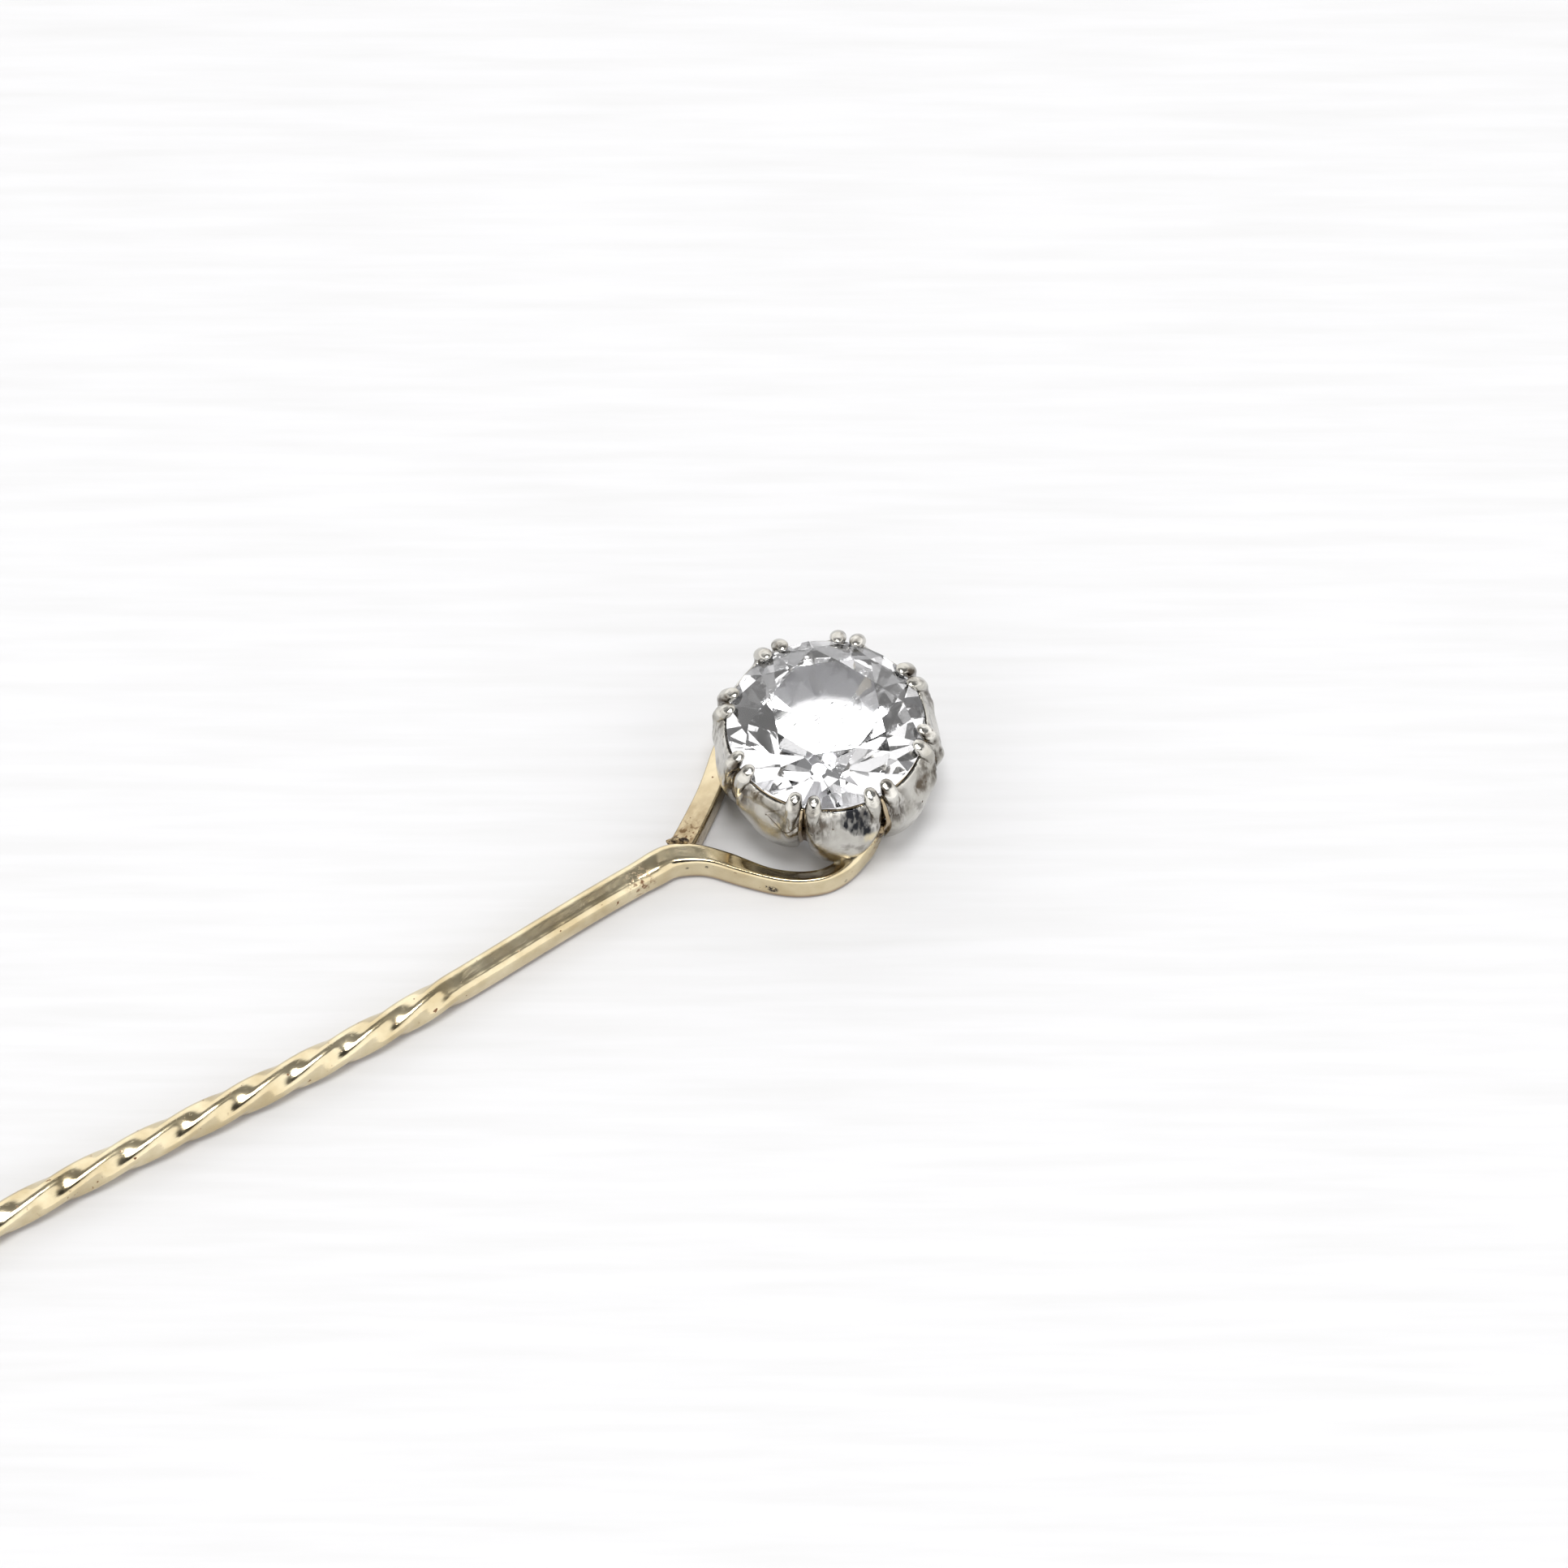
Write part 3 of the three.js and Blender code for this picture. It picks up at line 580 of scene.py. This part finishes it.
def leaf(name, across_steps, up_steps, inset, thickness, spread, top, lip):
    """A grid bent to the petal's shape and given its thickness towards the head's axis, down
    to a part of it, the lip, at the top edge."""
    bpy.ops.object.select_all(action="DESELECT")
    bpy.ops.mesh.primitive_grid_add(x_subdivisions=across_steps, y_subdivisions=up_steps, size=2)
    sheet = bpy.context.object
    sheet.name = sheet.data.name = name
    thin = sheet.vertex_groups.new(name="thin")
    crowding = 0.47 * math.pi  # brings the grid's lines closer together at the sides
    for vert in sheet.data.vertices:
        u, v = math.sin(vert.co.x * crowding) / math.sin(crowding), (vert.co.y + 1) / 2
        vert.co = petal_point(u, v, inset, spread, top)
        thin.add([vert.index], eased([(3.2, 1), (EDGE, lip)], vert.co.z / MM), "REPLACE")
    wall = sheet.modifiers.new("wall", "SOLIDIFY")
    wall.thickness = thickness * MM
    wall.offset = -1
    wall.vertex_group = "thin"
    wall.use_even_offset = False
    bpy.ops.object.modifier_apply(modifier="wall")
    bpy.ops.object.mode_set(mode="EDIT")
    bpy.ops.mesh.select_all(action="SELECT")
    bpy.ops.mesh.normals_make_consistent(inside=False)
    bpy.ops.object.mode_set(mode="OBJECT")
    return sheet


def claw(side):
    """A thick claw: a ball drawn down into a tail that dies away on the petal's shoulder."""
    bpy.ops.object.select_all(action="DESELECT")
    bpy.ops.mesh.primitive_uv_sphere_add(segments=24, ring_count=20, radius=1)
    bead = bpy.context.object
    for vert in bead.data.vertices:
        x, y, z = vert.co
        full = CLAW * eased(CLAW_FULL, z)
        flat = math.hypot(x, y) or 1
        radius = eased(CLAW_OUT, z) + full * x / flat
        bearing = side * CLAW_APART + full * y / flat / radius
        vert.co = round_head(radius, bearing, eased(CLAW_UP, z))
    return bead


petal = leaf("petal_front", 36, 44, 0.0, SILVER, spread=0.0, top=EDGE + EDGE_RISE, lip=0.45)
for side in (1, -1):
    bead = claw(side)
    bpy.ops.object.select_all(action="DESELECT")
    petal.select_set(True)
    bpy.context.view_layer.objects.active = petal
    weld = petal.modifiers.new("weld", "BOOLEAN")
    weld.operation = "UNION"
    weld.solver = "EXACT"
    weld.object = bead
    bpy.ops.object.modifier_apply(modifier="weld")
    bpy.data.objects.remove(bead)
petal.vertex_groups.clear()
fuse = petal.modifiers.new("fuse", "REMESH")
fuse.mode = "VOXEL"
fuse.voxel_size = 0.032 * MM
bpy.ops.object.modifier_apply(modifier="fuse")
polish = petal.modifiers.new("polish", "SMOOTH")
polish.factor = 0.5
polish.iterations = 7
bpy.ops.object.modifier_apply(modifier="polish")
bpy.ops.object.shade_smooth()

BLACK = (0.025, 0.026, 0.03)
BROWN = (0.12, 0.095, 0.07)
# Tone of tarnish, also used as painted dark reflection.
TARNISH_AND_REFLECTED_DARK = (0.085, 0.07, 0.055)
# Where the silver is pitted or worn through to the gold, and black and brown patches of painted
# dark reflection and shade: place, full within, gone beyond, and colour.
WEAR_AND_PAINTED_DARK_PATCHES = [((-1.1, -3.75, 3.65), 0.4, 0.85, BLACK), ((-0.95, -3.9, 3.1), 0.25, 0.6, BLACK),
        ((-2.1, -3.5, 3.5), 0.05, 0.6, BROWN), ((-3.75, -1.15, 3.9), 0.1, 0.5, BROWN),
        ((-2.55, -2.9, 3.6), 0.1, 0.6, BROWN), ((1.9, -3.5, 3.3), 0.1, 0.7, BROWN),
        ((3.4, -2.2, 3.0), 0.1, 0.55, BROWN), ((4.1, -0.3, 3.2), 0.1, 0.6, BROWN),
        ((-3.57, 1.55, 3.9), 0.05, 0.32, BROWN), ((-3.85, 1.21, 3.6), 0.1, 0.34, BLACK),
        ((-3.55, -2.1, 3.0), 0.1, 0.4, GOLD), ((-3.37, -2.27, 3.55), 0.05, 0.3, GOLD),
        ((-3.37, -2.27, 3.57), 0.01, 0.1, BROWN), ((-0.5, -4.05, 2.5), 0.1, 0.6, GOLD)]


def from_axis(tree, where):
    """A place on the head as X, Y and Z from its axis."""
    return split_up(tree, vector_worked(tree, "SUBTRACT", where, AXIS, "Vector"))


def old_silver_with_painted_dark(name):
    """Old silver: grey-white and bright where it is rubbed, brown-black with tarnish and painted
    dark reflection in the grooves, in streaks below the claws and in loose patches, with black
    and brown patches of painted dark reflection and shade, gold at the worn foot, and one fine
    split."""
    made, tree, where = metal(name, (0.66, 0.645, 0.605), (0.42, 0.405, 0.36),
                              (0.12, 0.085, 0.055), (0.06, 0.20), dented=1.5)
    xyz = from_axis(tree, where)
    bearing = worked(tree, "ARCTAN2", xyz["Y"], xyz["X"], clamp=False)
    from_groove = worked(tree, "PINGPONG", bearing, STEP / 2, clamp=False)
    # Tarnish and painted dark reflection: darker in the grooves between the petals, in streaks
    # below the claws and in loose patches.
    groove_tarnish_and_reflection = times(tree, ranged(tree, from_groove, 0.085, 0.045),
                 patches(tree, where, 0.35, 0.35, 0.6))
    cloud = times(tree, patches(tree, where, 0.8, 0.54, 0.64, shift=5.0), 0.6)
    streaks = patches(tree, where, 0.2, 0.42, 0.58, stretch=(1, 1, 0.2), shift=3.0)
    for value, none, full in ((from_groove, 0.34, 0.16), (xyz["Z"], 2.3 * MM, 3.3 * MM),
                              (xyz["Z"], 4.3 * MM, 3.9 * MM)):
        streaks = times(tree, streaks, ranged(tree, value, none, full))
    dark = worked(tree, "MAXIMUM", worked(tree, "MAXIMUM", groove_tarnish_and_reflection, cloud),
                  times(tree, streaks, 0.95))
    tinted(tree, dark, TARNISH_AND_REFLECTED_DARK)
    tinted(tree, ranged(tree, xyz["Z"], 0.22 * MM, 0.05 * MM), GOLD)
    ragged = times(tree, patches(tree, where, 0.2, 0.35, 0.60, stretch=(1, 1, 0.25), shift=9.0),
                   0.35)
    # Painted dark reflection and shade: the black and brown patches of this list, laid with the
    # gold of real wear.
    for centre, inside, outside, tint in WEAR_AND_PAINTED_DARK_PATCHES:
        spot = times(tree, near(tree, where, centre, inside, outside), 0.65)
        tinted(tree, ranged(tree, worked(tree, "ADD", spot, ragged), 0.45, 0.85), tint)
    cells = tree.nodes.new("ShaderNodeTexVoronoi")
    cells.feature = "DISTANCE_TO_EDGE"
    cells.inputs["Scale"].default_value = 1 / (1.1 * MM)
    tree.links.new(where, cells.inputs["Vector"])
    split = times(tree, ranged(tree, cells.outputs["Distance"], 0.035, 0.015),
                  near(tree, where, (-3.45, -2.3, 3.2), 0.5, 0.9))
    tinted(tree, split, (0.10, 0.07, 0.045))
    return made


petal_silver = old_silver_with_painted_dark("petal_silver_metal")
lining = leaf("petal_lining", 28, 32, SILVER - SUNK, LINING, spread=SPREAD, top=4.0, lip=0.5)
bpy.ops.object.shade_smooth()
petal_gold = metal("petal_gold_metal", (0.62, 0.51, 0.35), (0.40, 0.31, 0.20), GOLD_STAIN,
                   (0.12, 0.3))[0]
# How far each petal, raised by hand, stands out at its belly and at its foot, in mm.
HABIT = {5: (-0.03, -0.12), 6: (0.03, 0.22), 7: (0.16, 0.1), 8: (0.2, 0.1), 1: (0.1, 0.0)}
for k in range(PETALS):
    turn = Matrix.Rotation((k + 0.5) * STEP, 4, "Z")
    turn = Matrix.Translation(AXIS) @ turn @ Matrix.Translation(-AXIS)
    belly, foot = HABIT.get(k + 1, (0.0, 0.0))
    for model, finish, node, slot in ((petal, petal_silver, "petal_silver", "silver"),
                                      (lining, petal_gold, "petal_gold", "gold")):
        copy = bpy.data.objects.new(f"{model.name}_{k + 1}", model.data.copy())
        bpy.context.scene.collection.objects.link(copy)
        for vert in copy.data.vertices:
            z = vert.co.z / MM
            push = belly * eased([(0, 0), (2.6, 1), (4.1, 0)], z)
            push += foot * eased([(0, 1), (3.0, 0)], z)
            vert.co.x += push * MM
        copy.data.transform(turn)
        copy.data.materials.append(finish)
        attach(copy, "root")
        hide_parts(f"{node}_{k + 1}")
for model in (petal, lining):
    bpy.data.objects.remove(model)

# ---------------------------------------------------------------------------------------------
# Collet: a fluted gold cone inside the petals, with the stone in its mouth. Its gold is darkened
# with painted shade, so its flutes show as dark ribs at the back of the grooves, and its bright
# inside throws light back up through the stone.
COLLET_WALL = [(3.30, 3.88), (3.06, 3.1), (2.86, 2.2), (2.66, 1.2), (2.50, 0.5),
               (2.74, 0.42), (2.98, 1.2), (3.22, 2.2), (3.42, 3.2), (3.56, 3.86)]  # radius, height
FLUTES, FLUTE_DEPTH = 64, 0.012
RIM = 3.8 * MM  # the flutes stop short of the rim
bpy.ops.object.select_all(action="DESELECT")
bpy.ops.mesh.primitive_circle_add(vertices=len(COLLET_WALL), radius=MM, fill_type="NOTHING")
collet = bpy.context.object
collet.name = collet.data.name = "setting_collet"
bpy.ops.object.mode_set(mode="EDIT")
ring = bmesh.from_edit_mesh(collet.data)
for vert, (r, z) in zip(ring.verts, COLLET_WALL):
    vert.co = AXIS + Vector((r, 0, z)) * MM
bpy.ops.mesh.select_all(action="SELECT")
bpy.ops.mesh.spin(steps=192, angle=2 * math.pi, center=AXIS, axis=(0, 0, 1))
bpy.ops.mesh.select_all(action="SELECT")
bpy.ops.mesh.remove_doubles(threshold=0.001 * MM)
bpy.ops.mesh.normals_make_consistent(inside=False)
bpy.ops.object.mode_set(mode="OBJECT")
for vert in collet.data.vertices:
    out = vert.co - AXIS
    if out.z < RIM:
        flute = 1 + FLUTE_DEPTH * math.cos(FLUTES * math.atan2(out.y, out.x))
        vert.co = AXIS + Vector((out.x * flute, out.y * flute, out.z))
bpy.ops.object.shade_smooth()
# Painted shade: the collet's gold is given much darker tones than the other gold, for the shade
# inside the petals.
collet_gold_painted_shade, tree, where = metal("collet_gold_painted_shade", (0.40, 0.30, 0.17), (0.22, 0.15, 0.08),
                                 (0.06, 0.03, 0.02), (0.2, 0.45))
xyz = from_axis(tree, where)
level = tree.nodes.new("ShaderNodeCombineXYZ")
tree.links.new(xyz["X"], level.inputs["X"])
tree.links.new(xyz["Y"], level.inputs["Y"])
radius = vector_worked(tree, "LENGTH", level.outputs["Vector"])
wall_at = worked(tree, "MULTIPLY_ADD", xyz["Z"], 0.235, 2.56 * MM, clamp=False)
tinted(tree, worked(tree, "LESS_THAN", radius, wall_at, clamp=False), (0.93, 0.93, 0.94))
collet.data.materials.append(collet_gold_painted_shade)
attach(collet, "root")
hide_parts("seat_collet")

# ---------------------------------------------------------------------------------------------
# Stone: a colourless old-cut brilliant. It is ground facet by facet from a round blank: table,
# eight stars, eight mains and sixteen halves above, mains, halves and culet below.
GIRDLE = 3.6
GIRDLE_Z = 4.2
GIRDLE_HALF = 0.08
TABLE_R, STAR_R, CROWN = 2.06, 2.84, math.tan(math.radians(35))
CULET_R, HALF_R, PAVILION = 0.26, 1.35, 2.85 / 3.34
COS_HALF = math.cos(math.pi / 8)
crown_z = GIRDLE_Z + GIRDLE_HALF
keel_z = GIRDLE_Z - GIRDLE_HALF
table_z = crown_z + (GIRDLE - TABLE_R) * CROWN
star_z = crown_z + (GIRDLE - STAR_R * COS_HALF) * CROWN
culet_z = keel_z - (GIRDLE - CULET_R) * PAVILION
half_z = keel_z - (GIRDLE - HALF_R * COS_HALF) * PAVILION


def at(radius, step, z):
    """A point on the stone: its radius, its bearing in eighths of a turn, and its height."""
    return round_head(radius, step * math.pi / 4, z)


def grind(a, b, c):
    """Takes off all that stands outside the flat through three points, and closes the cut."""
    normal = (b - a).cross(c - a).normalized()
    heart = AXIS + Vector((0, 0, GIRDLE_Z * MM))
    if normal.dot(heart - a) > 0:
        normal.negate()
    bpy.ops.mesh.select_all(action="SELECT")
    bpy.ops.mesh.bisect(plane_co=a, plane_no=normal, use_fill=True, clear_outer=True,
                        threshold=1e-9)


bpy.ops.object.select_all(action="DESELECT")
bpy.ops.mesh.primitive_cylinder_add(vertices=128, radius=GIRDLE * MM, depth=8 * MM,
                                    location=AXIS + Vector((0, 0, GIRDLE_Z * MM)))
stone = bpy.context.object
stone.name = stone.data.name = "white_stone"
bpy.ops.object.transform_apply(location=True, rotation=False, scale=False)
bpy.ops.object.mode_set(mode="EDIT")
for k in range(8):
    for inner, inner_z, outer, outer_z in ((TABLE_R, table_z, STAR_R, star_z),
                                           (CULET_R, culet_z, HALF_R, half_z)):
        grind(at(inner, k, inner_z), at(outer, k - 0.5, outer_z), at(outer, k + 0.5, outer_z))
for k in range(8):
    for tip, tip_z, edge_z in ((STAR_R, star_z, crown_z), (HALF_R, half_z, keel_z)):
        for corner in (k, k + 1):
            grind(at(tip, k + 0.5, tip_z), at(GIRDLE, corner, edge_z),
                  at(GIRDLE, k + 0.5, edge_z))
for k in range(8):
    grind(at(TABLE_R, k, table_z), at(TABLE_R, k + 1, table_z), at(STAR_R, k + 0.5, star_z))
for flat_z in (table_z, culet_z):
    grind(at(1, 0, flat_z), at(1, 3, flat_z), at(1, 6, flat_z))
bpy.ops.mesh.select_all(action="SELECT")
bpy.ops.mesh.remove_doubles(threshold=1e-7)
bpy.ops.mesh.normals_make_consistent(inside=False)
bpy.ops.object.mode_set(mode="OBJECT")
bpy.ops.object.shade_flat()

clear, tree, where = material("clear_stone", {
    "Base Color": (0.97, 0.97, 0.985, 1), "Transmission Weight": 1, "IOR": 1.77})
rubbed = patches(tree, where, 0.8, 0.6, 0.75)
finished(tree, "Roughness", ranged(tree, rubbed, 0.0, 1.0, 0.0, 0.04))
embossed(tree, patches(tree, where, 0.04, 0.62, 0.7, stretch=(0.1, 1, 1)), 0.05, 0.005 * MM)
stone.data.materials.append(clear)
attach(stone, "root")
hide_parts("stone")

# ---------------------------------------------------------------------------------------------
# Solder: rough runs of darkened solder, pitted by the flux, where the arms meet the head and
# where the left arm meets the wire.
burnt, tree, where = material("burnt_solder", {"Metallic": 0.85, "Roughness": 0.5})
crust = patches(tree, where, 0.16, 0.42, 0.58)
finished(tree, "Base Color",
         mixed(tree, "MIX", crust, (0.46, 0.36, 0.22), (0.05, 0.035, 0.025)))
embossed(tree, crust, 0.9, 0.04 * MM)


def solder_run(name, node, centre, size, bearing, seed):
    """A ball of solder squashed into a joint, its skin lumpy and cratered."""
    bpy.ops.object.select_all(action="DESELECT")
    bpy.ops.mesh.primitive_ico_sphere_add(subdivisions=5, radius=1)
    run = bpy.context.object
    run.name = run.data.name = name
    turn = Matrix.Rotation(bearing, 3, "Z")
    for vert in run.data.vertices:
        lump = 1 + 0.22 * noise.noise(vert.co * 2.2 + Vector((seed, 0, 0)))
        lump += 0.06 * noise.noise(vert.co * 9 + Vector((0, seed, 0)))
        shaped = Vector((vert.co.x * size[0], vert.co.y * size[1], vert.co.z * size[2])) * lump
        vert.co = AXIS + (turn @ shaped + Vector(centre)) * MM
    bpy.ops.object.shade_smooth()
    run.data.materials.append(burnt)
    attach(run, "root")
    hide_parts(node)


solder_run("solder_at_right_arm", "solder_right", (0.02, -3.32, 1.5), (0.5, 0.3, 0.5), -0.1, 3.0)
solder_run("solder_at_left_arm", "solder_left", (-0.12, 3.1, 0.72), (0.36, 0.3, 0.3), 0.4, 7.0)
solder_run("solder_in_fork", "solder_fork", (-6.0, 0.28, 0.6), (0.16, 0.55, 0.5), 0.75, 11.0)

bpy.context.view_layer.update()
